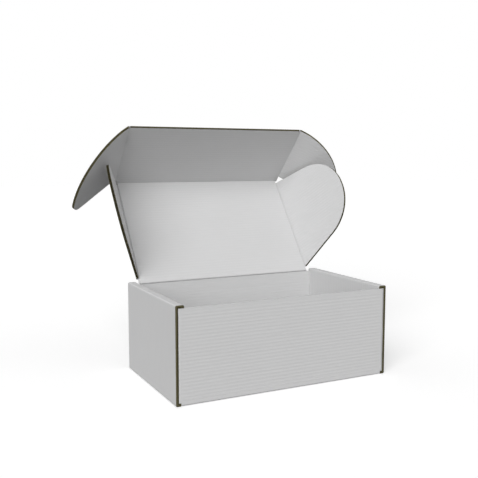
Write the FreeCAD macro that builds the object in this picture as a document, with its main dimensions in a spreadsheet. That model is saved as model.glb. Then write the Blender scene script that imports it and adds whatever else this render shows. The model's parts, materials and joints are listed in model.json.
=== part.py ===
"""Roll-end tuck-front mailer box, folded from one sheet of corrugated board.

Frame: origin at the middle of the tray's underside, X to the right along the
front wall, Y to the back, Z up. Millimetres and degrees. The lid stands open.

The tray is one body. Each panel that swings is drawn flat in its own frame,
with Z out of its inner face, and its Placement folds it up from the panel that
carries it. A swinging edge is a full round about its crease, at mid-board.
"""
import FreeCAD, Part
import Sketcher
import math
import os
from types import SimpleNamespace

DRIVING_SIZES = [
    # alias, value, what it is
    ("box_width", 250.0, "outside of the tray, along X"),
    ("box_depth", 146.0, "outside of the tray, along Y"),
    ("box_height", 100.0, "underside to the tops of the end walls"),
    ("board", 3.0, "thickness of the board"),
    ("fold_radius", 2.0, "outside radius of a folded edge"),
    ("layer_gap", 0.1, "air between two layers of a folded wall"),
    ("top_gap", 0.3, "front and back wall tops to the shut lid"),
    ("front_gap", 0.3, "front wall to the shut lid's front crease"),
    ("crease_gap", 0.25, "clearance of a swinging edge to its neighbour"),
    ("end_gap", 0.2, "inner end wall to the front and back walls"),
    ("foot_margin", 0.4, "corner tab's fold to the cut beside an end wall's foot"),
    ("tab_spacing", 16.0, "between the ends of the two tabs in an end wall"),
    ("lock_length", 30.0, "length of a lock tab at an inner wall's foot"),
    ("lock_spacing", 70.0, "between the middles of the two lock tabs"),
    ("lock_recess", 0.3, "lock tab's end above the tray's underside"),
    ("slot_gap", 0.25, "clearance round a lock tab in its slot"),
    ("lid_angle", 127.0, "lid's opening from shut"),
    ("wing_angle", 67.0, "wing folded in from the lid's plane"),
    ("wing_travel", 47.6, "what a wing folds in further as the lid shuts"),
    ("wing_inset", 3.0, "inner end wall to a wing's crease"),
    ("wing_floor_gap", 3.5, "bottom to the far edge of an upright wing"),
    ("wing_near_root", 5.0, "lid hinge to the start of a wing's crease"),
    ("wing_far_root", 4.7, "end of a wing's crease to the tuck crease"),
    ("wing_near_slant", 18.6, "lean of a wing's edge beside the lid hinge"),
    ("wing_far_slant", 9.3, "lean of a wing's edge beside the tuck flap"),
    ("wing_near_radius", 55.0, "round of a wing's corner beside the hinge"),
    ("wing_far_radius", 49.0, "round of a wing's corner beside the flap"),
    ("least_straight", 0.5, "straight length that two rounds always leave"),
    ("tuck_angle", 81.0, "tuck flap folded in from the lid's plane"),
    ("tuck_floor_gap", 4.5, "bottom to the free edge of an upright flap"),
    ("tuck_corner", 1.5, "round of the tuck flap's free corners"),
    ("ear_lag", 29.0, "how much less an ear is folded in than a wing"),
    ("ear_inset", 1.6, "inner end wall to an ear's crease"),
    ("ear_shortfall", 13.0, "how much less an ear reaches than the flap"),
    ("ear_start", 1.5, "straight part of an ear's edge at its crease"),
    ("ear_root", 9.0, "tuck crease to the start of an ear's crease"),
    ("ear_slant", 6.5, "lean of an ear's straight edge"),
    ("ear_tip_radius", 12.0, "round of an ear's tip"),
]


class Size:
    """A length or an angle: the formula that FreeCAD binds, and what it is worth."""

    def __init__(self, formula, value):
        self.formula = formula
        self.value = value

    @staticmethod
    def of(thing):
        return thing if isinstance(thing, Size) else Size(f"{thing}", float(thing))

    def __add__(self, other):
        other = Size.of(other)
        return Size(f"({self.formula} + {other.formula})", self.value + other.value)

    def __sub__(self, other):
        other = Size.of(other)
        return Size(f"({self.formula} - {other.formula})", self.value - other.value)

    def __mul__(self, other):
        other = Size.of(other)
        return Size(f"({self.formula} * {other.formula})", self.value * other.value)

    def __truediv__(self, other):
        other = Size.of(other)
        return Size(f"({self.formula} / {other.formula})", self.value / other.value)

    def __neg__(self):
        return Size(f"(-1 * {self.formula})", -self.value)

    def __radd__(self, other):
        return Size.of(other) + self

    def __rsub__(self, other):
        return Size.of(other) - self

    def __rmul__(self, other):
        return Size.of(other) * self


def tan(angle):
    return Size(f"tan({angle.formula})", math.tan(math.radians(angle.value)))


def smaller(one, other):
    return Size(f"min({one.formula}; {other.formula})", min(one.value, other.value))


doc = FreeCAD.newDocument("mailer_box")


def make_sheet():
    """The driving sizes in a sheet, one a row, and a Size that stands for each."""
    table = doc.addObject("Spreadsheet::Sheet", "sizes")
    for row, (alias, value, meaning) in enumerate(DRIVING_SIZES, start=1):
        table.set(f"A{row}", alias)
        table.set(f"B{row}", str(value))
        table.set(f"C{row}", meaning)
        table.setAlias(f"B{row}", alias)
    doc.recompute()
    return SimpleNamespace(**{alias: Size(f"sizes.{alias}", value)
                              for alias, value, _ in DRIVING_SIZES})


s = make_sheet()

# Places and lengths that several panels share.
FRONT_Y = -s.box_depth / 2
BACK_Y = s.box_depth / 2
OUTSIDE_X = s.box_width / 2
TAB_OUT_X = OUTSIDE_X - s.board - s.layer_gap
FOOT_X = TAB_OUT_X - s.fold_radius - s.foot_margin
INNER_WALL_X = OUTSIDE_X - 3 * s.board - 2 * s.layer_gap
WALL_TOP = s.box_height - s.board - s.top_gap
LAYER_FLOOR = s.board + s.layer_gap
HINGE_Y = BACK_Y - s.board / 2
HINGE_Z = s.box_height - s.board / 2
LID_LENGTH = s.box_depth - 2 * s.board - s.front_gap
WING_CREASE_X = INNER_WALL_X - s.wing_inset
EAR_CREASE_X = INNER_WALL_X - s.ear_inset
WING_REACH = s.box_height - 1.5 * s.board - s.wing_floor_gap
TUCK_LENGTH = s.box_height - 1.5 * s.board - s.tuck_floor_gap
EAR_REACH = TUCK_LENGTH - s.ear_shortfall
EDGE_SETBACK = s.board / 2 + s.crease_gap
ZERO = Size("0", 0.0)


# ------------------------------------------------------- sketches and features
def make_body(name):
    body = doc.addObject("PartDesign::Body", name)
    body.Label = name
    return body


def origin_plane(body, role):
    return next(o for o in body.Origin.OriginFeatures if o.Role == role)


def corner_places(corners):
    """For each corner: its point, its round's two ends, and the round's crown."""
    points = [FreeCAD.Vector(x.value, y.value, 0) for x, y, _ in corners]
    places = []
    for index, (point, (_, _, radius)) in enumerate(zip(points, corners)):
        back = (points[index - 1] - point).normalize()
        ahead = (points[(index + 1) % len(points)] - point).normalize()
        if radius is None:
            places.append((point, point, point, None))
            continue
        setback = radius.value / math.tan(back.getAngle(ahead) / 2)
        to_crown = math.hypot(setback, radius.value) - radius.value
        crown = point + (back + ahead).normalize() * to_crown
        places.append((point, point + back * setback, point + ahead * setback, crown))
    return places


def outline(body, name, role, corners, height=ZERO):
    """A closed, fully bound sketch on one of the body's origin planes.

    corners lists (x, y, radius) in order, anticlockwise; a radius of None leaves
    the corner sharp. height lifts the sketch off its plane.
    """
    sketch = body.newObject("Sketcher::SketchObject", name)
    sketch.AttachmentSupport = [(origin_plane(body, role), "")]
    sketch.MapMode = "FlatFace"
    sketch.setExpression("AttachmentOffset.Base.z", height.formula)
    places = corner_places(corners)
    constraints = []
    dimensions = {}

    def constrain(kind, *where):
        constraints.append(Sketcher.Constraint(kind, *where))

    def dimension(kind, *where, size):
        dimensions[len(constraints)] = size
        constrain(kind, *where, size.value)

    for place, following in zip(places, places[1:] + places[:1]):
        sketch.addGeometry(Part.LineSegment(place[2], following[1]))
    for index, (x, y, radius) in enumerate(corners):
        before = (index - 1) % len(corners)
        point, start, end, crown = places[index]
        if radius is None:
            constrain("Coincident", before, 2, index, 1)
            fixed = index
        else:
            turns_left = (start - places[before][2]).cross(end - start).z > 0
            if turns_left:
                arc = sketch.addGeometry(Part.Arc(start, crown, end))
                constrain("Tangent", before, 2, arc, 1)
                constrain("Tangent", arc, 2, index, 1)
            else:
                arc = sketch.addGeometry(Part.Arc(end, crown, start))
                constrain("Tangent", before, 2, arc, 2)
                constrain("Tangent", arc, 1, index, 1)
            dimension("Radius", arc, size=radius)
            fixed = sketch.addGeometry(Part.Point(point), True)
            constrain("PointOnObject", fixed, 1, before)
            constrain("PointOnObject", fixed, 1, index)
        dimension("DistanceX", -1, 1, fixed, 1, size=x)
        dimension("DistanceY", -1, 1, fixed, 1, size=y)
    sketch.addConstraint(constraints)
    for index, size in dimensions.items():
        sketch.setExpression(f"Constraints[{index}]", size.formula)
    return sketch


def pad(body, name, sketch, length, symmetric=True, reverse=False):
    feature = body.newObject("PartDesign::Pad", name)
    feature.Profile = sketch
    feature.SideType = "Symmetric" if symmetric else "One side"
    feature.Reversed = reverse
    feature.setExpression("Length", length.formula)
    return feature


def pocket(body, name, sketch, depth):
    """Cut as far as depth to either side of the sketch."""
    feature = body.newObject("PartDesign::Pocket", name)
    feature.Profile = sketch
    feature.SideType = "Symmetric"
    feature.setExpression("Length", (2 * depth).formula)
    return feature


def rectangle(x0, x1, y0, y1):
    return [(x0, y0, None), (x1, y0, None), (x1, y1, None), (x0, y1, None)]


def on_side(corners, side):
    """The corners as they are for the right, or over the Y axis for the left."""
    if side == "right":
        return corners
    return [(-x, y, radius) for x, y, radius in reversed(corners)]


def hinge_edge(body, strip, axis):
    """A full round about the sketch's axis, from a strip half a board wide."""
    feature = body.newObject("PartDesign::Revolution", "hinge_round")
    feature.Profile = strip
    feature.ReferenceAxis = (strip, [axis])
    feature.Angle = 360
    return feature


# ------------------------------------------------------------------- the tray
def tray():
    """Bottom, front and back walls, corner tabs and the two rolled end walls."""
    body = make_body("tray")
    walls = [
        (FRONT_Y, ZERO, s.fold_radius), (BACK_Y, ZERO, s.fold_radius),
        (BACK_Y, WALL_TOP, None), (BACK_Y - s.board, WALL_TOP, None),
        (BACK_Y - s.board, s.board, None), (FRONT_Y + s.board, s.board, None),
        (FRONT_Y + s.board, WALL_TOP, None), (FRONT_Y, WALL_TOP, None),
    ]
    section = outline(body, "walls_section", "YZ_Plane", walls)
    pad(body, "bottom_and_walls", section, 2 * FOOT_X)
    for side in ("left", "right"):
        end_wall(body, side)
        for end in ("front", "back"):
            corner_post(body, side, end)
            lock_tab(body, side, end)
    return body


def end_wall(body, side):
    """Outer wall and roll-over top, then the inner wall hung under the top."""
    under_top = s.box_height - s.board
    rolled = [
        (FOOT_X, ZERO, None), (OUTSIDE_X, ZERO, s.fold_radius),
        (OUTSIDE_X, s.box_height, s.fold_radius),
        (INNER_WALL_X, s.box_height, s.fold_radius), (INNER_WALL_X, under_top, None),
        (OUTSIDE_X - s.board, under_top, None), (OUTSIDE_X - s.board, s.board, None),
        (FOOT_X, s.board, None),
    ]
    section = outline(body, f"end_section_{side}", "XZ_Plane", on_side(rolled, side))
    pad(body, f"end_wall_{side}", section, s.box_depth)
    inner = rectangle(INNER_WALL_X, INNER_WALL_X + s.board, LAYER_FLOOR, under_top)
    section = outline(body, f"inner_section_{side}", "XZ_Plane", on_side(inner, side))
    pad(body, f"inner_wall_{side}", section, s.box_depth - 2 * (s.board + s.end_gap))


def corner_post(body, side, end):
    """End of the front or back wall, folded back as a tab inside the end wall."""
    tab_end = -s.tab_spacing / 2
    ell = [
        (FOOT_X, FRONT_Y, None), (TAB_OUT_X, FRONT_Y, s.fold_radius),
        (TAB_OUT_X, tab_end, None), (TAB_OUT_X - s.board, tab_end, None),
        (TAB_OUT_X - s.board, FRONT_Y + s.board, None), (FOOT_X, FRONT_Y + s.board, None),
    ]
    if end == "back":
        ell = [(x, -y, radius) for x, y, radius in reversed(ell)]
    section = outline(body, f"tab_section_{side}_{end}", "XY_Plane",
                      on_side(ell, side), height=LAYER_FLOOR)
    pad(body, f"corner_tab_{side}_{end}", section, WALL_TOP - LAYER_FLOOR,
        symmetric=False)


def lock_tab(body, side, end):
    """Tab at the inner wall's foot, standing in its slot through the bottom."""
    middle = s.lock_spacing / 2 if end == "back" else -s.lock_spacing / 2
    x0, x1 = INNER_WALL_X, INNER_WALL_X + s.board
    y0, y1 = middle - s.lock_length / 2, middle + s.lock_length / 2
    slot = rectangle(x0 - s.slot_gap, x1 + s.slot_gap, y0 - s.slot_gap, y1 + s.slot_gap)
    section = outline(body, f"slot_outline_{side}_{end}", "XY_Plane", on_side(slot, side))
    pocket(body, f"slot_{side}_{end}", section, s.board)
    tab = rectangle(x0, x1, y0, y1)
    section = outline(body, f"lock_outline_{side}_{end}", "XY_Plane", on_side(tab, side),
                      height=s.lock_recess)
    pad(body, f"lock_tab_{side}_{end}", section, LAYER_FLOOR - s.lock_recess,
        symmetric=False)


# ------------------------------------------------------- the panels that swing
def hinge_along_x(body, half_width):
    strip = rectangle(-half_width, half_width, ZERO, s.board / 2)
    hinge_edge(body, outline(body, "hinge_strip", "XY_Plane", strip), "H_Axis")


def lid_panel():
    """Lid, its side edges cut back inside for wings that fold in past square."""
    body = make_body("lid_panel")
    half_width = WING_CREASE_X - EDGE_SETBACK
    full_fold = s.wing_angle + s.wing_travel
    ledge = EDGE_SETBACK * tan(45 - full_fold / 2)
    inner_half = half_width - (s.board / 2 - ledge) * tan(full_fold - 90)
    section = [
        (-half_width, -s.board / 2, None), (half_width, -s.board / 2, None),
        (half_width, ledge, None), (inner_half, s.board / 2, None),
        (-inner_half, s.board / 2, None), (-half_width, ledge, None),
    ]
    pad(body, "board_panel", outline(body, "panel_section", "XZ_Plane", section),
        LID_LENGTH - EDGE_SETBACK, symmetric=False, reverse=True)
    hinge_along_x(body, half_width)
    return body


def tuck_flap():
    """Flap along the lid's free edge, its two free corners rounded."""
    body = make_body("tuck_flap")
    half_width = EAR_CREASE_X - EDGE_SETBACK
    corners = [
        (-half_width, ZERO, None), (half_width, ZERO, None),
        (half_width, TUCK_LENGTH, s.tuck_corner), (-half_width, TUCK_LENGTH, s.tuck_corner),
    ]
    pad(body, "board_panel", outline(body, "panel_outline", "XY_Plane", corners), s.board)
    hinge_along_x(body, half_width)
    return body


def side_panel(name, side, corners, crease_start, crease_end):
    """A rounded panel hinged along Y at its inner edge: a wing, or an ear."""
    body = make_body(name)
    panel = outline(body, "panel_outline", "XY_Plane", on_side(corners, side))
    pad(body, "board_panel", panel, s.board)
    strip = rectangle(ZERO, s.board / 2, crease_start, crease_end)
    strip_outline = outline(body, "hinge_strip", "XY_Plane", on_side(strip, side))
    hinge_edge(body, strip_outline, "V_Axis")
    return body


def wing(side):
    """Lid's side flap: two slanted edges and two large rounds under a short top."""
    start, end = s.wing_near_root, LID_LENGTH - s.wing_far_root
    near_top = start + WING_REACH * tan(s.wing_near_slant)
    far_top = end - WING_REACH * tan(s.wing_far_slant)
    share = (far_top - near_top - s.least_straight) / 2
    near_room = share / tan(45 - s.wing_near_slant / 2)
    far_room = share / tan(45 - s.wing_far_slant / 2)
    corners = [
        (ZERO, start, None), (WING_REACH, near_top, smaller(s.wing_near_radius, near_room)),
        (WING_REACH, far_top, smaller(s.wing_far_radius, far_room)), (ZERO, end, None),
    ]
    return side_panel(f"wing_{side}", side, corners, start, end)


def ear(side):
    """Tuck flap's dust flap: one great round to its tip, then a straight edge."""
    start, end = s.ear_root, TUCK_LENGTH
    low = start - EAR_REACH * tan(s.ear_slant)
    great_round = EAR_REACH - s.ear_start
    upright = end - great_round - low
    tip_room = (upright - s.least_straight) * tan(45 - s.ear_slant / 2)
    corners = [
        (ZERO, start, None), (EAR_REACH, low, smaller(s.ear_tip_radius, tip_room)),
        (EAR_REACH, end, great_round), (ZERO, end, None),
    ]
    return side_panel(f"ear_{side}", side, corners, start, end)


def fold_up(body, carrier, place, axis, angle):
    """Put the body at its crease on its carrier, and turn it about the crease."""
    x, y, z = (size.formula for size in place)
    here = f"placement(vector({x}; {y}; {z}); rotation(vector({axis}); {angle.formula}))"
    on_carrier = f"{carrier.Name}.Placement * " if carrier else ""
    body.setExpression("Placement", on_carrier + here)


def build():
    """Every sub-part, folded to where it stands with the lid open."""
    lid = lid_panel()
    flap = tuck_flap()
    fold_up(lid, None, (ZERO, HINGE_Y, HINGE_Z), "1; 0; 0", 180 - s.lid_angle)
    fold_up(flap, lid, (ZERO, LID_LENGTH, ZERO), "1; 0; 0", s.tuck_angle)
    parts = [tray(), lid, flap]
    for side, sign in (("left", -1), ("right", 1)):
        panel = wing(side)
        place = (sign * WING_CREASE_X, ZERO, ZERO)
        fold_up(panel, lid, place, "0; 1; 0", -sign * s.wing_angle)
        dust_flap = ear(side)
        place = (sign * EAR_CREASE_X, ZERO, ZERO)
        fold_up(dust_flap, flap, place, "0; 1; 0", -sign * (s.wing_angle - s.ear_lag))
        parts += [panel, dust_flap]
    doc.recompute()
    return parts


def check(parts):
    """Stop if any object failed to compute, or a sub-part isn't one valid solid."""
    for thing in doc.Objects:
        if "Invalid" in thing.State or "Error" in thing.State:
            raise RuntimeError(f"{thing.Name} failed: {thing.State}")
    for body in parts:
        shape = body.Shape
        if shape.isNull() or not shape.isValid() or len(shape.Solids) != 1:
            raise RuntimeError(f"{body.Label} isn't one valid solid")


def export(parts):
    os.makedirs("parts", exist_ok=True)
    for body in parts:
        body.Shape.exportStep(f"parts/{body.Label}.step")
        print(f"{body.Label}: {body.Shape.Volume:.0f} mm3")


parts = build()
check(parts)
export(parts)
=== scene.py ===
"""Looks of a corrugated mailer box: three paper layers to each panel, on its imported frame.

A board is a grid laid over the flat sheet: `run` counts across the flutes and `reach`
along them. Each panel has a fold, which takes run, reach and depth to a place, depth
going from -1 at the outer face to +1 at the inner face. The outer liner, the fluted
medium and the inner liner are closed slabs, each between two such depths.
"""
import json
import math

import bpy
import numpy as np
from bpy.props import FloatProperty, FloatVectorProperty, IntProperty, PointerProperty
from bpy.types import Operator, Panel, PropertyGroup
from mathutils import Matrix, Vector


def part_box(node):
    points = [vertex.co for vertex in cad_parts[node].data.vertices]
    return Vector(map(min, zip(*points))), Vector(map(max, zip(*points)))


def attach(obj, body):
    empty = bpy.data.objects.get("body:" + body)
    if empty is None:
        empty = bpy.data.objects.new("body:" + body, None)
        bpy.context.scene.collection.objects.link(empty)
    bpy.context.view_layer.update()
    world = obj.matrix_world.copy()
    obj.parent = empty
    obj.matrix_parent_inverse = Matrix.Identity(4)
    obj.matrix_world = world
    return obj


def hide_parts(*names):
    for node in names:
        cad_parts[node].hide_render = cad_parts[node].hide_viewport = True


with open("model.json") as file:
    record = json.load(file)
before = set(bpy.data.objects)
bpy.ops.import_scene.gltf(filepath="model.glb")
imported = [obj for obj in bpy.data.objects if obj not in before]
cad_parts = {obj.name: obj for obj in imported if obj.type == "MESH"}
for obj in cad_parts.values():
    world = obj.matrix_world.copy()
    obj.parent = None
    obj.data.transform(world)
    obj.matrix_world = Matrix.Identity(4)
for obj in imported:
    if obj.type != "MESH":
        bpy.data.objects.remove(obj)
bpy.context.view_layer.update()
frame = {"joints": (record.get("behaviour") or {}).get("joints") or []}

bl_info = {
    "name": "Corrugated mailer box",
    "version": (1, 0, 0),
    "blender": (4, 5, 0),
    "location": "3D View > Sidebar > Mailer",
    "description": "Lays liners and flutes over the packed frame of a folded mailer box",
    "category": "Object",
}

JOINTS = {joint["name"]: joint for joint in frame["joints"]}
MM = 0.001
ACROSS = np.array([1.0, 0.0, 0.0])


# ------------------------------------------------------------ places in the frame
def hinge_place(name):
    """Where a hinge's axis passes, in the frame."""
    return np.array(JOINTS[name]["pos_m"], float)


LID_HINGE = hinge_place("lid_hinge")
TUCK_HINGE = hinge_place("tuck_hinge")
LID_LENGTH = float(np.linalg.norm(TUCK_HINGE - LID_HINGE))
LID_RUN = (TUCK_HINGE - LID_HINGE) / LID_LENGTH
LID_FACE = np.cross(ACROSS, LID_RUN)
TUCK_RUN = np.array(JOINTS["ear_left_hinge"]["axis"], float)
TUCK_FACE = np.cross(ACROSS, TUCK_RUN)
WING_CREASE = float(hinge_place("wing_right_hinge")[0])
EAR_CREASE = float(hinge_place("ear_right_hinge")[0])
WING_TRAVEL = math.radians(JOINTS["wing_right_hinge"]["range_deg"][1])
TUCK_SWING = -math.radians(JOINTS["tuck_hinge"]["range_deg"][0])
EAR_SWING = -math.radians(JOINTS["ear_right_hinge"]["range_deg"][0])
LID_LEAN = math.radians(JOINTS["lid_hinge"]["range_deg"][1]) - math.pi / 2
TRAY_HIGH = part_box("tray")[1]
HALF_WIDTH, HALF_DEPTH, BOX_HEIGHT = TRAY_HIGH.x, TRAY_HIGH.y, TRAY_HIGH.z
BOARD = 2 * (BOX_HEIGHT - float(LID_HINGE[2]))
HALF_BOARD = BOARD / 2

# ------------------------------------------------------------------- fixed values
# Keeps a grid line off the tip of an outline, where its width is nil, or beside a step.
HAIR = 0.01 * MM
# Grid lines round a nose, over a crease cap, along either, and round an outline's corner.
NOSE_LINES, CAP_LINES, CREASE_LINES, CORNER_LINES = 13, 11, 9, 25
# Grid lines over a tuck flap's free corner.
TUCK_CORNER_LINES = 9
# Shares of a width where a panel's grid has lines, some close to its two edges.
MIDDLE_ONLY = (0, 0.5, 1)
NEAR_CREASES = (0, 0.02, 0.5, 0.98, 1)
NEAR_SLOTS = (0, 0.03, 0.5, 0.97, 1)
NEAR_OUTLINE = (0, 0.1, 0.5, 0.9, 1)
# Size of a flute's unevenness, and its angle's step from one flute to the next.
UNEVEN = ((0.12, 2.1), (0.08, 5.3))
# Shading stays smooth over edges that turn less than this.
SMOOTH_TURN = math.radians(35)
# How many to a metre: clouds and fibres in the paper, and streaks along and across flutes.
CLOUDS, FIBRES, STREAKS = 26.0, 950.0, (45.0, 560.0, 1.0)
# Shares: streaks among the fine lines, flute-pitch stripes in the tone (paper tone at the flute
# tips and painted washboard shade), and tone over clouds.
STREAK_SHARE, TIP_TONE_AND_SHADE_SHARE, TONE_SHARE = 0.7, 0.4, 0.75
LEAST_ROUGH, MOST_ROUGH = 0.68, 0.9
# A Wave texture's angle is this many times its scaled place.
WAVE_ANGLE = 20
FLOOR_DROP = 0.2 * MM
FLOOR_REACH = 6.0
SENSOR_WIDTH = 36


# ------------------------------------------------------------------- properties
def length(name, description, size, **more):
    """A length property whose default is given in millimetres."""
    return FloatProperty(name=name, description=description, default=size * MM,
                         min=0, unit="LENGTH", precision=5, **more)


def angle(name, description, degrees):
    """An angle property whose default is given in degrees."""
    return FloatProperty(name=name, description=description,
                         default=math.radians(degrees), subtype="ANGLE")


def tint(name, description, colour):
    """A colour property."""
    return FloatVectorProperty(name=name, description=description, subtype="COLOR",
                               default=colour, min=0, max=1)


class MailerBoard(PropertyGroup):
    """How the corrugated board itself is made."""

    pitch: length("Flute pitch", "From one flute to the next", 3.56)
    liner: length("Liner", "Thickness of each flat face paper", 0.24)
    medium: length("Medium", "Thickness of the fluted paper", 0.25)
    washboard: length("Washboard", "How far a liner sinks between two flute tips", 0.095)
    fold_outer: length("Fold, outside", "Outside radius of a folded edge", 1.4)
    fold_inner: length("Fold, inside", "Inside radius of a folded edge", 0.2)
    crease_gap: length("Crease gap", "Between a swinging edge and its socket", 0.06)
    samples: IntProperty(
        name="Samples", description="Grid lines to each flute", default=10, min=6, max=16)


class MailerTray(PropertyGroup):
    """Sizes of the tray's folded walls, tabs and slots."""

    wall_drop: length("Wall drop", "End wall tops down to the raw wall tops", 3.3)
    foot: length("Foot", "End wall's own strip of the bottom", 5.5)
    layer_gap: length("Layer gap", "Air between two layers of a folded wall", 0.1)
    end_gap: length("End gap", "Inner end wall to the front and back walls", 0.2)
    tab_spacing: length("Tab spacing", "Between the two tabs inside an end wall", 16)
    lock_length: length("Lock tab", "Length of a lock tab at an inner wall's foot", 30)
    lock_spacing: length("Lock spacing", "Between the middles of the lock tabs", 70)
    lock_recess: length("Lock recess", "Lock tab's end above the underside", 0.3)
    slot_gap: length("Slot gap", "Clearance round a lock tab in its slot", 0.25)


class MailerFlaps(PropertyGroup):
    """Outlines of the lid's wings, the tuck flap and its ears."""

    wing_fold: angle("Wing fold", "Between the lid and a wing at rest", 67)
    wing_reach: length("Wing reach", "Wing's crease to its far edge", 92)
    wing_near_root: length("Near root", "Lid hinge to the start of a wing", 5)
    wing_far_root: length("Far root", "End of a wing to the tuck crease", 4.7)
    wing_near_slant: angle("Near slant", "Lean of a wing's edge by the lid hinge", 18.6)
    wing_far_slant: angle("Far slant", "Lean of a wing's edge by the tuck flap", 9.3)
    wing_near_radius: length("Near round", "Wing's corner by the lid hinge", 55)
    wing_far_radius: length("Far round", "Wing's corner by the tuck flap", 49)
    tuck_length: length("Tuck length", "Tuck crease to the flap's free edge", 91)
    tuck_corner: length("Tuck corner", "Round of the tuck flap's free corners", 1.5)
    ear_reach: length("Ear reach", "Ear's crease to its outermost edge", 78)
    ear_start: length("Ear start", "Straight part of an ear's edge at its crease", 1.5)
    ear_root: length("Ear root", "Tuck crease to the start of an ear", 9)
    ear_slant: angle("Ear slant", "Lean of an ear's straight edge", 6.5)
    ear_tip: length("Ear tip", "Round of an ear's tip", 12)


class MailerPaper(PropertyGroup):
    """Colours of the papers."""

    liner: tint("Liner", "White-grey face paper", (0.62, 0.62, 0.622))
    medium: tint("Medium", "Olive-brown fluted paper", (0.115, 0.103, 0.052))


class MailerStage(PropertyGroup):
    """Floor, lights and camera."""

    floor: FloatProperty(
        name="Floor", description="Share of its light that the floor sends to the box",
        default=0.28, min=0, max=1)
    floor_seen: FloatProperty(
        name="Floor seen", description="Share of its light that shows on the floor",
        default=0.9, min=0, max=1)
    lift: FloatProperty(
        name="Floor lift", description="White added to the floor as it is seen",
        default=0.272, min=0, max=1)
    sky: FloatProperty(
        name="Sky", description="Strength of the even light all round",
        default=0.34, min=0)
    key: FloatProperty(
        name="Key", description="Strength of the soft key light", default=2.48, min=0)
    key_turn: angle("Key turn", "Key light's bearing, left of straight ahead", 40)
    key_height: angle("Key height", "Key light's height over the floor", 30)
    fill: FloatProperty(
        name="Fill", description="Strength of the soft fill light", default=0.25, min=0)
    fill_turn: angle("Fill turn", "Fill light's bearing, right of straight ahead", 55)
    fill_height: angle("Fill height", "Fill light's height over the floor", 28)
    back: FloatProperty(
        name="Back", description="Strength of the soft light from behind", default=0.3,
        min=0)
    back_turn: angle("Back turn", "Back light's bearing, left of straight ahead", 150)
    back_height: angle("Back height", "Back light's height over the floor", 35)
    light_spread: angle("Light spread", "Angle that each of the lights fills", 50)
    lens: FloatProperty(
        name="Lens", description="Focal length on a 36 mm sensor", default=53.53,
        min=10, unit="CAMERA")
    turn: angle("Camera turn", "Camera's bearing, left of straight ahead", 26.551)
    dip: angle("Camera dip", "How far the camera looks down", 6.349)
    stand: FloatVectorProperty(
        name="Camera place", description="Where the camera stands", size=3,
        default=(-0.3681, -0.6957, 0.2381), subtype="TRANSLATION")


# ------------------------------------------------------------------ mesh building
def slab(low, high, sheet, brown=(0, 0, 0, 0, 0)):
    """A closed slab between two grids of points, each (rows, columns, 3).

    Both grids make a face, and a strip of quads joins their borders. Where the sum of
    the triangles' corner triple products is below zero, every quad is turned round, so
    faces point outwards. sheet holds the flat sheet's reach and run at each grid point.
    brown is 1 where the piece's second paper shows: on the high grid, and on the strips
    along the first column, the last row, the last column and the first row.
    """
    rows, columns = low.shape[:2]
    count = rows * columns
    points = np.concatenate([low.reshape(-1, 3), high.reshape(-1, 3)])
    index = np.arange(count).reshape(rows, columns)
    corners = index[:-1, :-1], index[1:, :-1], index[1:, 1:], index[:-1, 1:]
    face = np.stack(corners, -1).reshape(-1, 4)
    border = np.concatenate(
        [index[:-1, 0], index[-1, :-1], index[:0:-1, -1], index[0, :0:-1]])
    following = np.roll(border, -1)
    strip = np.stack([following, following + count, border + count, border], -1)
    quads = np.concatenate([face, face[:, ::-1] + count, strip])
    a, b, c, d = (points[quads[:, corner]] for corner in range(4))
    middle = points.mean(0)
    volume = np.einsum("ij,ij", a - middle, np.cross(b - a, c - a))
    volume += np.einsum("ij,ij", a - middle, np.cross(c - a, d - a))
    if volume < 0:
        quads = quads[:, ::-1]
    sides = (rows - 1, columns - 1, rows - 1, columns - 1)
    paper = np.repeat((0,) + tuple(brown), (len(face), len(face)) + sides)
    return points, quads, np.tile(sheet.reshape(-1, 2), (2, 1)), paper


def make_piece(name, slabs, materials, body, node):
    """One object of several slabs, riding a body in place of a node."""
    starts = np.cumsum([0] + [len(points) for points, *_ in slabs])
    points = np.concatenate([points for points, *_ in slabs])
    quads = np.concatenate([quads + start for (_, quads, *_), start in zip(slabs, starts)])
    sheet = np.concatenate([flat for *_, flat, _ in slabs])
    paper = np.concatenate([which for *_, which in slabs])
    mesh = bpy.data.meshes.new(name)
    mesh.vertices.add(len(points))
    mesh.vertices.foreach_set("co", points.ravel())
    mesh.loops.add(quads.size)
    mesh.loops.foreach_set("vertex_index", quads.ravel())
    mesh.polygons.add(len(quads))
    mesh.polygons.foreach_set("loop_start", np.arange(0, quads.size, 4))
    for material in materials:
        mesh.materials.append(material)
    mesh.polygons.foreach_set("material_index", paper)
    mesh.update(calc_edges=True)
    flat_map = mesh.uv_layers.new(name="flat_sheet")
    flat_map.data.foreach_set("uv", sheet[quads.ravel()].ravel())
    mesh.polygons.foreach_set("use_smooth", np.ones(len(quads), bool))
    mesh.set_sharp_from_angle(angle=SMOOTH_TURN)
    if mesh.validate(verbose=False):
        raise RuntimeError(f"{name} has broken faces")
    piece = bpy.data.objects.new(name, mesh)
    bpy.context.scene.collection.objects.link(piece)
    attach(piece, body)
    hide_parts(node)
    return piece


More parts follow.
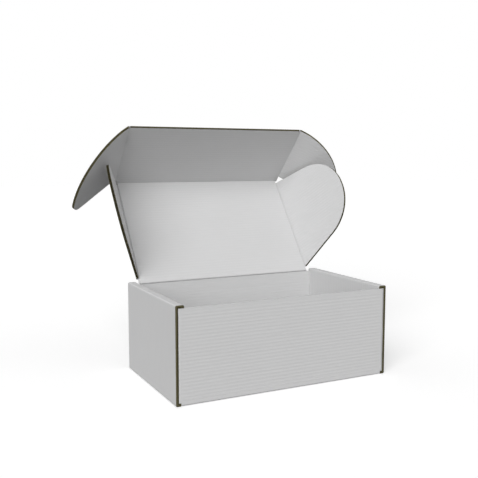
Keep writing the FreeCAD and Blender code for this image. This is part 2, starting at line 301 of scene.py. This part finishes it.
# --------------------------------------------------------------- the board itself
class Region:
    """A stretch of flat sheet and how it folds into place.

    fold(run, reach, depth) gives points. runs(depth) gives the two ends of the run, and
    reaches(run, depth) the two ends of the reach at each run. The grid also hits every
    run in run_knots, and shares says where its lines lie between a reach's two ends.
    shift takes run to the whole sheet's own measure, which sets the phase of the flutes.
    edges names the edges at the run's start, the run's end and both ends of the reach:
    "cut" shows brown paper, "joined" meets the next region, and "capped" is closed by
    another slab, which the fluted paper stops short of.
    """

    def __init__(self, fold, runs, reaches, edges, shift=0.0, run_knots=(),
                 shares=MIDDLE_ONLY):
        self.fold = fold
        self.runs = runs
        self.reaches = reaches
        self.edges = edges
        self.shift = shift
        self.run_knots = np.asarray(run_knots, float)
        self.shares = np.asarray(shares, float)

    def grid(self, board, runs):
        """Shares of the run: even lines, some to each flute, and the knots between."""
        start, end = runs
        count = max(2, round((end - start) / board.pitch * board.samples) + 1)
        knots = self.run_knots[(self.run_knots > start) & (self.run_knots < end)]
        lines = np.concatenate([np.linspace(start, end, count), knots])
        return (np.unique(lines.round(8)) - start) / (end - start)

    def spread(self, shares, runs, reaches):
        """Run and reach of every grid point, from the ends that two functions give."""
        run = runs[0] + (runs[1] - runs[0]) * shares
        low, high = reaches(run)
        reach = low[:, None] + (high - low)[:, None] * self.shares
        return np.broadcast_to(run[:, None], reach.shape), reach

    def liner(self, board, face):
        """Closed slab of face paper, on the outer face (-1) or the inner face (+1).

        The medium's tips touch it where face times the phase's sine is 1. Between the
        tips its skin sinks by washboard / 2 x (1 - face x sine), times an unevenness
        from flute to flute, 1 + the sum of size x sin(step x flute). Along a capped edge
        it stays flat: the sinking grows over half a pitch, or to the next column.
        """
        inside = face * (1 - board.liner / HALF_BOARD)
        shares = self.grid(board, self.runs(face))
        capped = np.array([edge == "capped" for edge in self.edges])
        surfaces = []
        for level, sink in ((face, board.washboard / BOARD), (inside, 0.0)):
            run, reach = self.spread(
                shares, self.runs(level), lambda at: self.reaches(at, level))
            flute = (run + self.shift) / board.pitch
            uneven = 1 + sum(size * np.sin(step * flute) for size, step in UNEVEN)
            wave = sink * uneven * (1 - face * np.sin(2 * np.pi * flute))
            if capped[:2].any():
                past = np.stack([run - run[0], run[-1] - run])[capped[:2]].min(0)
                wave *= np.clip(2 * past / board.pitch, 0, 1)
            if capped[2]:
                wave[:, [0, -1]] = 0
            surfaces.append(self.fold(run, reach, level - face * wave))
        start, end, side = (edge == "cut" for edge in self.edges)
        return slab(*surfaces, np.stack([reach, run + self.shift], -1),
                    (1, side, end, side, start))

    def flutes(self, board):
        """Closed slab of fluted paper: depth is a sine of the phase, between the liners.

        Its ends are the nearest of those at the liners' inside faces and between them.
        """
        inside = 1 - board.liner / HALF_BOARD
        half = board.medium / BOARD
        levels = (-inside, 0, inside)
        ends = np.array([self.runs(level) for level in levels])
        start, end, side = (board.medium if edge == "capped" else 0 for edge in self.edges)
        runs = ends[:, 0].max() + start, ends[:, 1].min() - end

        def reaches(run):
            ends = np.array([self.reaches(run, level) for level in levels])
            return ends[:, 0].max(0) + side, ends[:, 1].min(0) - side

        run, reach = self.spread(self.grid(board, runs), runs, reaches)
        wave = (inside - half) * np.sin(2 * np.pi * (run + self.shift) / board.pitch)
        low, high = self.fold(run, reach, wave - half), self.fold(run, reach, wave + half)
        return slab(low, high, np.stack([reach, run + self.shift], -1))


def liners(regions, board):
    """Outer and inner liner of each region."""
    return [region.liner(board, face) for region in regions for face in (-1, 1)]


def steady(low, high):
    """Two ends of a reach that are the same at every run and depth."""
    return lambda run, depth=0: (np.full(np.shape(run), low), np.full(np.shape(run), high))


def constant(start, end):
    """Two ends of a run that are the same at every depth."""
    return lambda depth: (start, end)


# -------------------------------------------------------------------- bent boards
# Angles through a corner, outside and inside: the outer face has two more points there.
TURNS = [np.linspace(0, np.pi / 2, count)[:, None] for count in (7, 9)]


class Rails:
    """Outer and inner faces of a board that turns square corners, as two lines in a plane.

    route lists the outer face's start, its sharp corners and its end, every corner
    turning towards the inner face. At a corner each face follows a quarter circle, and
    the two are counted together, at the mean of their lengths.
    """

    def __init__(self, route, board):
        route = np.asarray(route, float)
        steps = np.diff(route, axis=0)
        ways = steps / np.linalg.norm(steps, axis=1)[:, None]
        margin = BOARD + board.fold_inner
        outer, inner = [route[0][None]], [(route[0] + BOARD * ways[1])[None]]
        for corner, way, after in zip(route[1:-1], ways, ways[1:]):
            wide, tight = (way * np.sin(turn) - after * np.cos(turn) for turn in TURNS)
            back = corner + BOARD * (after - way)
            outer += [(corner - margin * way)[None],
                      corner + board.fold_outer * (after - way + wide),
                      (corner + margin * after)[None]]
            inner.append(back + board.fold_inner * (after - way + tight))
        outer.append(route[-1][None])
        inner.append((route[-1] - BOARD * ways[-2])[None])
        self.outer, self.inner = np.concatenate(outer), np.concatenate(inner)
        lengths = sum(np.linalg.norm(np.diff(line, axis=0), axis=1)
                      for line in (self.outer, self.inner)) / 2
        self.stations = np.concatenate([[0], np.cumsum(lengths)])
        self.length = self.stations[-1]

    def at(self, distance, depth):
        """The two plane coordinates at a distance along the route and a depth."""
        share = (depth + 1) / 2
        return [np.interp(distance, self.stations, self.outer[:, k]) * (1 - share)
                + np.interp(distance, self.stations, self.inner[:, k]) * share
                for k in (0, 1)]


def rail_fold(rails, run_axis, plane_axes, signs=(1, 1, 1)):
    """Fold of a board whose reach follows the rails, and whose run is one axis."""
    def fold(run, reach, depth):
        points = np.empty(run.shape + (3,))
        points[..., run_axis] = run
        for axis, values in zip(plane_axes, rails.at(reach, depth)):
            points[..., axis] = values
        return points * signs
    return fold


def panel_fold(origin, run_way, reach_way, face_way, side=1):
    """Fold of a flat panel: origin + run, reach and depth along its three ways."""
    def fold(run, reach, depth):
        run, reach, depth = np.broadcast_arrays(run, reach, depth)
        points = origin + run[..., None] * run_way + reach[..., None] * reach_way
        points = points + (HALF_BOARD * depth)[..., None] * face_way
        return points * (side, 1, 1)
    return fold


# ----------------------------------------------------------------------- creases
def recess(depth, board, inward, outward=0.0):
    """How far a fixed panel stays back from a crease, at a depth.

    A swinging panel's edge is a half circle about the crease, so the fixed panel has
    the circle sqrt(R^2 - z^2), R being half a board and the gap. Past the angle where
    the swinging panel's flat face takes over, it has that face's line,
    (R - z cos(swing)) / sin(swing). The larger of both swings' recesses counts.
    """
    radius = HALF_BOARD + board.crease_gap
    back = np.sqrt(radius ** 2 - (depth * HALF_BOARD) ** 2)
    for z, swing in ((depth * HALF_BOARD, inward), (-depth * HALF_BOARD, outward)):
        if swing > 0:
            line = (radius - z * math.cos(swing)) / math.sin(swing)
            back = np.where(z > radius * math.cos(swing), np.maximum(back, line), back)
    return back


def nose(place, ends, board):
    """Half-round edge of a swinging panel: a closed half ring about its crease.

    Its rings, of half a board and of that less a liner, are -r sin(turn) across the
    crease and -r cos(turn) deep.
    """
    turn = np.linspace(0, np.pi, NOSE_LINES)[None]
    along = np.linspace(*ends, CREASE_LINES)[:, None] + 0 * turn
    surfaces = [place(along, -radius * np.sin(turn), -radius * np.cos(turn) / HALF_BOARD)
                for radius in (HALF_BOARD - board.liner, HALF_BOARD)]
    return slab(*surfaces, np.stack([along, HALF_BOARD * (turn + 0 * along)], -1))


def crease_cap(place, ends, board, inward, outward=0.0):
    """Thin paper over a fixed panel's edge, along its recess from liner to liner."""
    inside = 1 - board.liner / HALF_BOARD
    depth = np.linspace(-inside, inside, CAP_LINES)[None]
    along = np.linspace(*ends, CREASE_LINES)[:, None] + 0 * depth
    across = -recess(depth, board, inward, outward)
    surfaces = [place(along, across - back, depth) for back in (0, board.medium / 2)]
    return slab(*surfaces, np.stack([along, HALF_BOARD * (depth + 0 * along)], -1))


# ---------------------------------------------------------------------- outlines
def rounded(corners, rounds):
    """A closed outline, each corner made an arc that touches both of its sides.

    The arc's centre is on the corner's middle line, radius / sin(half its angle) away.
    """
    corners, points = np.asarray(corners, float), []
    for corner, before, after, radius in zip(
            corners, np.roll(corners, 1, 0), np.roll(corners, -1, 0), rounds):
        back = (before - corner) / np.linalg.norm(before - corner)
        ahead = (after - corner) / np.linalg.norm(after - corner)
        half = math.acos(back @ ahead) / 2
        middle = (back + ahead) / (2 * math.cos(half))
        across = (ahead - back) / (2 * math.sin(half))
        centre = corner + middle * radius / math.sin(half)
        turn = np.linspace(-1, 1, CORNER_LINES if radius else 1)[:, None] * (math.pi / 2 - half)
        arc = across * np.sin(turn) - middle * np.cos(turn)
        points.append(centre + radius * arc)
    return np.concatenate(points)


class Outline:
    """Least and greatest reach of a convex outline, read along its two chains."""

    def __init__(self, points):
        points = np.roll(points, -points[:, 1].argmin(), axis=0)
        top = points[:, 1].argmax()
        self.points = points
        self.chains = points[:top + 1], np.concatenate([points[:1], points[:top - 1:-1]])

    def runs(self, depth):
        return self.points[0, 1] + HAIR, self.points[:, 1].max() - HAIR

    def reaches(self, run, depth=0):
        one, other = (np.interp(run, chain[:, 1], chain[:, 0]) for chain in self.chains)
        return np.minimum(one, other), np.maximum(one, other)


# --------------------------------------------------------------------- materials
def blend(tree, kind, share, first, second):
    """Output of a Mix node: first, and second where share is 1. Each may be a socket."""
    node = tree.nodes.new("ShaderNodeMix")
    node.data_type = kind
    sockets = [socket for socket in node.inputs if socket.enabled]
    for socket, value in zip(sockets, (share, first, second)):
        if isinstance(value, bpy.types.NodeSocket):
            tree.links.new(value, socket)
        else:
            socket.default_value = value
    return next(socket for socket in node.outputs if socket.enabled)


def paper_material(name, colour, pitch, contrast, bump_height):
    """Paper: soft clouds, streaks and faint lines along the flutes, and fine fibre.

    Clouds are some centimetres wide, fibres about a millimetre. Streaks are noise on the
    flat sheet's own map, drawn out along the flutes, and lines are a sine of the flute
    pitch on the same map: the paper's tone where it is glued to the flute tips, and
    painted shade of the washboard between them. A weighted mean of the four lightens or
    darkens the colour by up to contrast, and fibres and streaks raise the surface by
    bump_height.
    """
    material = bpy.data.materials.get(name) or bpy.data.materials.new(name)
    material.use_nodes = True
    tree = material.node_tree
    nodes, links = tree.nodes, tree.links
    nodes.clear()
    output = nodes.new("ShaderNodeOutputMaterial")
    shader = nodes.new("ShaderNodeBsdfPrincipled")
    place = nodes.new("ShaderNodeTexCoord")
    sheet = nodes.new("ShaderNodeUVMap")
    sheet.uv_map = "flat_sheet"
    along = nodes.new("ShaderNodeMapping")
    along.inputs["Scale"].default_value = STREAKS
    links.new(sheet.outputs["UV"], along.inputs["Vector"])
    links.new(shader.outputs["BSDF"], output.inputs["Surface"])

    def noise(source, scale, detail):
        node = nodes.new("ShaderNodeTexNoise")
        node.inputs["Scale"].default_value = scale
        node.inputs["Detail"].default_value = detail
        links.new(source, node.inputs["Vector"])
        return node.outputs["Fac"]

    clouds = noise(place.outputs["Object"], CLOUDS, 3.0)
    fibre = noise(place.outputs["Object"], FIBRES, 4.0)
    streaks = noise(along.outputs["Vector"], 1.0, 3.0)
    # Stripes at the flute pitch: the paper's tone at the glued flute tips, and painted shade of
    # the washboard between them.
    tips = nodes.new("ShaderNodeTexWave")
    tips.bands_direction = "Y"
    tips.inputs["Scale"].default_value = 2 * math.pi / (WAVE_ANGLE * pitch)
    links.new(sheet.outputs["UV"], tips.inputs["Vector"])
    lines = blend(tree, "FLOAT", STREAK_SHARE, fibre, streaks)
    tone = blend(tree, "FLOAT", TIP_TONE_AND_SHADE_SHARE, lines, tips.outputs["Fac"])
    pattern = blend(tree, "FLOAT", TONE_SHARE, clouds, tone)
    light, dark = (tuple(np.clip(np.array(colour) * (1 + share), 0, 1)) + (1.0,)
                   for share in (contrast, -contrast))
    links.new(blend(tree, "RGBA", pattern, light, dark), shader.inputs["Base Color"])
    roughness = blend(tree, "FLOAT", fibre, LEAST_ROUGH, MOST_ROUGH)
    links.new(roughness, shader.inputs["Roughness"])
    shader.inputs["Specular IOR Level"].default_value = 0.25
    bump = nodes.new("ShaderNodeBump")
    bump.inputs["Strength"].default_value = 0.4
    bump.inputs["Distance"].default_value = bump_height
    links.new(lines, bump.inputs["Height"])
    links.new(bump.outputs["Normal"], shader.inputs["Normal"])
    return material


def liner_paper(context):
    """The liners' pale face paper, with a faint pattern."""
    board, paper = context.scene.mailer_board, context.scene.mailer_paper
    return paper_material("face_paper", paper.liner, board.pitch, contrast=0.05,
                          bump_height=0.06 * MM)


def flute_paper(context):
    """The brown paper of the flutes and of every cut edge, rougher and more mixed."""
    board, paper = context.scene.mailer_board, context.scene.mailer_paper
    return paper_material("fluted_paper", paper.medium, board.pitch, contrast=0.4,
                          bump_height=0.1 * MM)


# --------------------------------------------------------------- the tray's parts
class TrayPlan:
    """Lengths and rails that several of the tray's pieces share."""

    def __init__(self, context):
        board, tray = context.scene.mailer_board, context.scene.mailer_tray
        self.board, self.tray = board, tray
        self.top = BOX_HEIGHT - tray.wall_drop
        self.inner_wall = HALF_WIDTH - 3 * BOARD - 2 * tray.layer_gap
        self.tab_face = HALF_WIDTH - BOARD - tray.layer_gap
        self.foot = HALF_WIDTH - tray.foot
        self.wall_foot = BOARD + board.fold_inner + tray.layer_gap
        self.slot = (tray.lock_length / 2 + tray.slot_gap, tray.lock_spacing / 2)
        deep, rise = HALF_DEPTH, self.wall_foot
        self.bottom = Rails([(-deep, rise), (-deep, 0), (deep, 0), (deep, rise)], board)
        self.half_run = self.bottom.length / 2
        tab, face = tray.tab_spacing / 2, self.tab_face
        self.walls = Rails(
            [(-face, -tab), (-face, -deep), (face, -deep), (face, -tab)], board)
        self.ends = Rails(
            [(self.foot, 0), (HALF_WIDTH, 0), (HALF_WIDTH, BOX_HEIGHT),
             (self.inner_wall, BOX_HEIGHT), (self.inner_wall, tray.lock_recess)], board)
        self.hinge_run = self.half_run + float(LID_HINGE[2]) - rise


def bottom_regions(plan):
    """Bottom with both its folds, its ends notched at the lock tabs' slots.

    Run follows the rails from front to back. Reach ends at the end walls' feet, or at
    the notch where run is within half a slot of a slot's middle.
    """
    half, middle = plan.slot
    notch = plan.inner_wall - plan.tray.slot_gap

    def reaches(run, depth=0):
        in_slot = np.abs(np.abs(run) - middle) < half
        reach = np.where(in_slot, notch, plan.foot)
        return -reach, reach

    edges = np.array([-1, 1])[:, None] * (middle + np.array([-half, half]))
    knots = (edges.ravel()[:, None] + np.array([-HAIR, HAIR]) / 2).ravel()
    knots = np.concatenate([knots, plan.bottom.stations - plan.half_run])
    ahead = rail_fold(plan.bottom, 0, (1, 2))
    return [Region(lambda run, reach, depth: ahead(reach, run + plan.half_run, depth),
                   constant(-plan.half_run, plan.half_run), reaches, ("joined",) * 3,
                   run_knots=knots, shares=NEAR_SLOTS)]


def wall_regions(plan, back):
    """Front or back wall with a tab turned in at each end.

    Height is the wall's foot plus run, counted down at the front, and reach follows the
    rails round both corners.
    """
    height, side = plan.top - plan.wall_foot, 1 if back else -1
    around = rail_fold(plan.walls, 2, (0, 1), (1, -side, 1))

    def fold(run, reach, depth):
        return around(plan.wall_foot + side * run, reach, depth)

    ends, edges = constant(-height, 0), ("capped", "joined", "cut")
    if back:
        ends, edges = constant(0, height), ("joined", "capped", "cut")
    return [Region(fold, ends, steady(0, plan.walls.length), edges, side * plan.half_run,
                   shares=plan.walls.stations / plan.walls.length)]


def pinched_top(plan, back):
    """Thin paper over a wall's raw top, where the cut has pinched the two liners."""
    region, board = wall_regions(plan, back)[0], plan.board
    height = plan.top - plan.wall_foot
    inside = 1 - board.liner / HALF_BOARD
    depth = np.array([-inside, 0, inside])[None]
    reach = plan.walls.stations[:, None] + 0 * depth
    surfaces = [region.fold((height - drop) * (1 if back else -1) + 0 * reach, reach,
                            depth + 0 * reach) for drop in (0, board.medium / 2)]
    return slab(*surfaces, np.stack([reach, 0 * reach + region.shift], -1))


def back_wall_lip(plan):
    """Strip on top of the back wall up to the lid's crease, and its cap."""
    board = plan.board
    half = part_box("lid_panel")[1].x
    fold = panel_fold(LID_HINGE, np.array([0, 0, 1]), ACROSS, np.array([0, -1, 0]))
    start = plan.top - float(LID_HINGE[2])

    def runs(depth):
        return start, -float(recess(depth, board, math.pi / 2, LID_LEAN))

    lip = Region(fold, runs, steady(-half, half), ("joined", "capped", "cut"),
                 plan.hinge_run)
    cap = crease_cap(lambda along, across, depth: fold(across, along, depth),
                     (-half, half), board, math.pi / 2, LID_LEAN)
    return liners([lip], board) + [cap]


def end_wall_regions(plan, side):
    """End wall from its foot over the top, the inner wall, and its two lock tabs.

    Run goes from front to back, and reach follows the rails up, over and down.
    """
    rails, tray = plan.ends, plan.tray
    fold = rail_fold(rails, 1, (0, 2), (side, 1, 1))
    over = rails.stations[-2]
    inner_foot = rails.length - (BOARD + tray.layer_gap - tray.lock_recess)
    inner_half = HALF_DEPTH - BOARD - tray.end_gap
    regions = [
        Region(fold, constant(-HALF_DEPTH, HALF_DEPTH), steady(0, over),
               ("cut", "cut", "joined"), shares=rails.stations[:-1] / over),
        Region(fold, constant(-inner_half, inner_half), steady(over, inner_foot),
               ("cut", "cut", "joined"))]
    for middle in (-tray.lock_spacing / 2, tray.lock_spacing / 2):
        half = tray.lock_length / 2
        regions.append(Region(fold, constant(middle - half, middle + half),
                              steady(inner_foot, rails.length), ("cut",) * 3,
                              shares=(0, 1)))
    return regions


# ------------------------------------------------------------ the lid's parts
def lid_shape(plan, flaps):
    """Lid panel: half-round at its hinge, recessed at the wings and the tuck crease.

    At each depth it is the wings' crease less their recess to each side, and as long as
    the hinge is from the tuck crease less that one's recess.
    """
    board, wing_swing = plan.board, flaps.wing_fold + WING_TRAVEL
    fold = panel_fold(LID_HINGE, LID_RUN, ACROSS, LID_FACE)

    def runs(depth):
        return 0.0, LID_LENGTH - float(recess(depth, board, TUCK_SWING))

    def reaches(run, depth=0):
        half = WING_CREASE - recess(depth, board, wing_swing) + 0 * run
        return -half, half

    region = Region(fold, runs, reaches, ("joined", "capped", "capped"), plan.hinge_run,
                    shares=NEAR_CREASES)
    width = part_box("lid_panel")[1].x
    extras = [nose(lambda along, across, depth: fold(across, along, depth),
                   (-width, width), board),
              crease_cap(lambda along, across, depth: fold(LID_LENGTH + across, along, depth),
                         (-width, width), board, TUCK_SWING)]
    for side in (-1, 1):
        extras.append(crease_cap(
            lambda along, across, depth: fold(along, side * (WING_CREASE + across), depth),
            (0.0, LID_LENGTH - BOARD), board, wing_swing))
    return [region], extras


def tuck_shape(plan, flaps):
    """Tuck flap: half-round at its crease, recessed at the ears, round free corners.

    At a free corner of radius r, where run is p past the corner's start, each side
    draws in by r - sqrt(r^2 - p^2).
    """
    board = plan.board
    fold = panel_fold(TUCK_HINGE, TUCK_RUN, ACROSS, TUCK_FACE)
    corner, end = flaps.tuck_corner, flaps.tuck_length

    def reaches(run, depth=0):
        past = np.clip(run - (end - corner), 0, corner)
        half = EAR_CREASE - recess(depth, board, EAR_SWING) - corner
        half = half + np.sqrt(corner ** 2 - past ** 2)
        return -half, half

    region = Region(fold, constant(0.0, end - HAIR), reaches,
                    ("joined", "cut", "capped"), plan.hinge_run + LID_LENGTH,
                    np.linspace(end - corner, end, TUCK_CORNER_LINES), NEAR_CREASES)
    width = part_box("tuck_flap")[1].x
    extras = [nose(lambda along, across, depth: fold(across, along, depth),
                   (-width, width), board)]
    for side in (-1, 1):
        extras.append(crease_cap(
            lambda along, across, depth: fold(along, side * (EAR_CREASE + across), depth),
            (0.0, end - corner), board, EAR_SWING))
    return [region], extras


def swinging_shape(plan, outline, ends, fold, shift):
    """A wing or an ear: a convex outline with a half-round along its crease."""
    shape = Outline(outline)
    region = Region(fold, shape.runs, shape.reaches, ("cut",) * 3, shift,
                    shape.points[:, 1], NEAR_OUTLINE)
    return [region], [nose(fold, ends, plan.board)]


def wing_shape(plan, flaps, side):
    """A wing: four corners, the outer two rounded, folded in from the lid by an angle f.

    Its reach goes along cos(f) across + sin(f) face of the lid, and its depth along
    cos(f) face - sin(f) across. Its two long edges lean by reach x tan(their slant).
    """
    turn = flaps.wing_fold
    way = math.cos(turn) * ACROSS + math.sin(turn) * LID_FACE
    face = math.cos(turn) * LID_FACE - math.sin(turn) * ACROSS
    near, far = flaps.wing_near_root, LID_LENGTH - flaps.wing_far_root
    reach = flaps.wing_reach
    outline = rounded(
        [(0, near), (reach, near + reach * math.tan(flaps.wing_near_slant)),
         (reach, far - reach * math.tan(flaps.wing_far_slant)), (0, far)],
        [0, flaps.wing_near_radius, flaps.wing_far_radius, 0])
    origin = LID_HINGE + WING_CREASE * ACROSS
    fold = panel_fold(origin, LID_RUN, way, face, side)
    return swinging_shape(plan, outline, (near, far), fold, plan.hinge_run)


def ear_shape(plan, flaps, side):
    """An ear: a tip and a great round on its outer corners, folded in from the tuck flap.

    Its ways turn from the flap's as a wing's do from the lid's, and the edge beside
    the lid leans by reach x tan(slant).
    """
    way = math.cos(EAR_SWING) * ACROSS + math.sin(EAR_SWING) * TUCK_FACE
    face = math.cos(EAR_SWING) * TUCK_FACE - math.sin(EAR_SWING) * ACROSS
    root, end, reach = flaps.ear_root, flaps.tuck_length, flaps.ear_reach
    outline = rounded(
        [(0, root), (reach, root - reach * math.tan(flaps.ear_slant)), (reach, end), (0, end)],
        [0, flaps.ear_tip, reach - flaps.ear_start, 0])
    origin = TUCK_HINGE + EAR_CREASE * ACROSS
    fold = panel_fold(origin, TUCK_RUN, way, face, side)
    return swinging_shape(plan, outline, (root, end), fold, plan.hinge_run + LID_LENGTH)


def make_board(context, name, regions, extras, body, node):
    """The two pieces of a panel: its face papers, and the fluted paper between them."""
    board, brown = context.scene.mailer_board, flute_paper(context)
    make_piece(name + "_faces", liners(regions, board) + extras,
               [liner_paper(context), brown], body, node)
    make_piece(name + "_flutes", [region.flutes(board) for region in regions],
               [brown], body, node)


# --------------------------------------------------------------------- operators
class MAILER_OT_bottom(Operator):
    """Make the tray's bottom with its folds and lock slots"""

    bl_idname = "mailer.make_bottom"
    bl_label = "Bottom"

    def execute(self, context):
        plan = TrayPlan(context)
        make_board(context, "bottom", bottom_regions(plan), [], "box", "tray")
        return {"FINISHED"}


class MAILER_OT_walls(Operator):
    """Make the front and back walls with their corner tabs"""

    bl_idname = "mailer.make_walls"
    bl_label = "Front and back walls"

    def execute(self, context):
        plan = TrayPlan(context)
        make_board(context, "front_wall", wall_regions(plan, False),
                   [pinched_top(plan, False)], "box", "tray")
        make_board(context, "back_wall", wall_regions(plan, True),
                   [pinched_top(plan, True), *back_wall_lip(plan)], "box", "tray")
        return {"FINISHED"}


class MAILER_OT_end_walls(Operator):
    """Make the double end walls with their lock tabs"""

    bl_idname = "mailer.make_end_walls"
    bl_label = "End walls"

    def execute(self, context):
        plan = TrayPlan(context)
        for name, side in (("left_end_wall", -1), ("right_end_wall", 1)):
            make_board(context, name, end_wall_regions(plan, side), [], "box", "tray")
        return {"FINISHED"}


class MAILER_OT_lid(Operator):
    """Make the lid panel"""

    bl_idname = "mailer.make_lid"
    bl_label = "Lid"

    def execute(self, context):
        plan, flaps = TrayPlan(context), context.scene.mailer_flaps
        make_board(context, "lid", *lid_shape(plan, flaps), "lid", "lid_panel")
        return {"FINISHED"}


class MAILER_OT_wings(Operator):
    """Make the lid's two wings"""

    bl_idname = "mailer.make_wings"
    bl_label = "Wings"

    def execute(self, context):
        plan, flaps = TrayPlan(context), context.scene.mailer_flaps
        for name, side in (("left_wing", -1), ("right_wing", 1)):
            node = "wing_" + name.split("_")[0]
            make_board(context, name, *wing_shape(plan, flaps, side), name, node)
        return {"FINISHED"}


class MAILER_OT_tuck_flap(Operator):
    """Make the tuck flap"""

    bl_idname = "mailer.make_tuck_flap"
    bl_label = "Tuck flap"

    def execute(self, context):
        plan, flaps = TrayPlan(context), context.scene.mailer_flaps
        make_board(context, "tuck_flap", *tuck_shape(plan, flaps), "tuck", "tuck_flap")
        return {"FINISHED"}


class MAILER_OT_ears(Operator):
    """Make the tuck flap's two ears"""

    bl_idname = "mailer.make_ears"
    bl_label = "Ears"

    def execute(self, context):
        plan, flaps = TrayPlan(context), context.scene.mailer_flaps
        for name, side in (("left_ear", -1), ("right_ear", 1)):
            node = "ear_" + name.split("_")[0]
            make_board(context, name, *ear_shape(plan, flaps, side), name, node)
        return {"FINISHED"}


class MAILER_OT_stage(Operator):
    """Make the floor, the lights and the camera"""

    bl_idname = "mailer.make_stage"
    bl_label = "Stage"

    def execute(self, context):
        stage = context.scene.mailer_stage
        make_floor(stage)
        light_scene(context, stage)
        place_camera(context, stage)
        context.scene.view_settings.view_transform = "Standard"
        return {"FINISHED"}


def seen_rays(tree):
    """1 for camera, glossy and transmission rays, and 0 for light bounced otherwise."""
    rays = tree.nodes.new("ShaderNodeLightPath")
    total = rays.outputs["Is Camera Ray"]
    for name in ("Is Glossy Ray", "Is Transmission Ray"):
        most = tree.nodes.new("ShaderNodeMath")
        most.operation = "MAXIMUM"
        tree.links.new(total, most.inputs[0])
        tree.links.new(rays.outputs[name], most.inputs[1])
        total = most.outputs[0]
    return total


def make_floor(stage):
    """A wide, pale, flat floor, just under the box.

    It gives back a share of its light, and where it is seen a larger share and an even
    white on top, so that it is white beside the box and keeps the box's shadow.
    """
    reach = np.linspace(-FLOOR_REACH, FLOOR_REACH, 13)
    x, y = np.meshgrid(reach, reach, indexing="ij")
    points = np.stack([x, y, np.full(x.shape, -FLOOR_DROP)], -1)
    index = np.arange(x.size).reshape(x.shape)
    corners = index[:-1, :-1], index[1:, :-1], index[1:, 1:], index[:-1, 1:]
    mesh = bpy.data.meshes.new("floor")
    mesh.from_pydata(points.reshape(-1, 3), [], np.stack(corners, -1).reshape(-1, 4))
    floor = bpy.data.objects.new("floor", mesh)
    bpy.context.scene.collection.objects.link(floor)
    material = bpy.data.materials.new("floor_white")
    material.use_nodes = True
    tree = material.node_tree
    nodes, links = tree.nodes, tree.links
    nodes.clear()
    output = nodes.new("ShaderNodeOutputMaterial")
    seen = seen_rays(tree)
    shares = ((share, share, share, 1) for share in (stage.floor, stage.floor_seen))
    diffuse = nodes.new("ShaderNodeBsdfDiffuse")
    links.new(blend(tree, "RGBA", seen, *shares), diffuse.inputs["Color"])
    glow = nodes.new("ShaderNodeEmission")
    links.new(blend(tree, "FLOAT", seen, 0, stage.lift), glow.inputs["Strength"])
    total = nodes.new("ShaderNodeAddShader")
    links.new(diffuse.outputs[0], total.inputs[0])
    links.new(glow.outputs[0], total.inputs[1])
    links.new(total.outputs[0], output.inputs["Surface"])
    mesh.materials.append(material)


def light_scene(context, stage):
    """Even light all round, white where it is seen, a soft key and two weaker lights."""
    world = bpy.data.worlds.new("studio")
    world.use_nodes = True
    context.scene.world = world
    tree = world.node_tree
    tree.nodes.clear()
    output = tree.nodes.new("ShaderNodeOutputWorld")
    background = tree.nodes.new("ShaderNodeBackground")
    background.inputs["Color"].default_value = (1, 1, 1, 1)
    sky = blend(tree, "FLOAT", seen_rays(tree), stage.sky, 1.0)
    tree.links.new(sky, background.inputs["Strength"])
    tree.links.new(background.outputs[0], output.inputs["Surface"])
    for name, strength, turn, height in (
            ("key", stage.key, stage.key_turn, stage.key_height),
            ("fill", stage.fill, -stage.fill_turn, stage.fill_height),
            ("back", stage.back, stage.back_turn, stage.back_height)):
        lamp = bpy.data.lights.new(name, "SUN")
        lamp.energy = strength
        lamp.angle = stage.light_spread
        lit = bpy.data.objects.new(name, lamp)
        lit.rotation_euler = (math.pi / 2 - height, 0, -turn)
        context.scene.collection.objects.link(lit)


def place_camera(context, stage):
    """A level camera, turned left and dipped, where the stage's sizes put it."""
    camera = bpy.data.objects.new("camera", bpy.data.cameras.new("camera"))
    camera.data.sensor_width = SENSOR_WIDTH
    camera.data.lens = stage.lens
    camera.data.clip_start = 0.01
    camera.location = Vector(stage.stand)
    camera.rotation_euler = (math.pi / 2 - stage.dip, 0, -stage.turn)
    context.scene.collection.objects.link(camera)
    context.scene.camera = camera


class MAILER_PT_build(Panel):
    """Lists the pieces and their sizes"""

    bl_idname = "MAILER_PT_build"
    bl_label = "Mailer box"
    bl_space_type = "VIEW_3D"
    bl_region_type = "UI"
    bl_category = "Mailer"

    def draw(self, context):
        for name, group in GROUPS.items():
            box = self.layout.box()
            for key in group.__annotations__:
                box.prop(getattr(context.scene, name), key)
        for operator in OPERATORS:
            self.layout.operator(operator.bl_idname)


GROUPS = {"mailer_board": MailerBoard, "mailer_tray": MailerTray,
          "mailer_flaps": MailerFlaps, "mailer_paper": MailerPaper,
          "mailer_stage": MailerStage}
OPERATORS = (MAILER_OT_bottom, MAILER_OT_walls, MAILER_OT_end_walls, MAILER_OT_lid,
             MAILER_OT_wings, MAILER_OT_tuck_flap, MAILER_OT_ears, MAILER_OT_stage)


def register():
    """Add the classes to Blender, and a group of sizes of each kind to its scenes."""
    for kind in (*GROUPS.values(), *OPERATORS, MAILER_PT_build):
        bpy.utils.register_class(kind)
    for name, group in GROUPS.items():
        setattr(bpy.types.Scene, name, PointerProperty(type=group))


def unregister():
    """Take them away again."""
    for name in GROUPS:
        delattr(bpy.types.Scene, name)
    for kind in (MAILER_PT_build, *OPERATORS, *GROUPS.values()):
        bpy.utils.unregister_class(kind)


def main():
    register()
    bpy.ops.mailer.make_bottom()
    bpy.ops.mailer.make_walls()
    bpy.ops.mailer.make_end_walls()
    bpy.ops.mailer.make_lid()
    bpy.ops.mailer.make_wings()
    bpy.ops.mailer.make_tuck_flap()
    bpy.ops.mailer.make_ears()
    bpy.ops.mailer.make_stage()


if __name__ == "__main__":
    main()
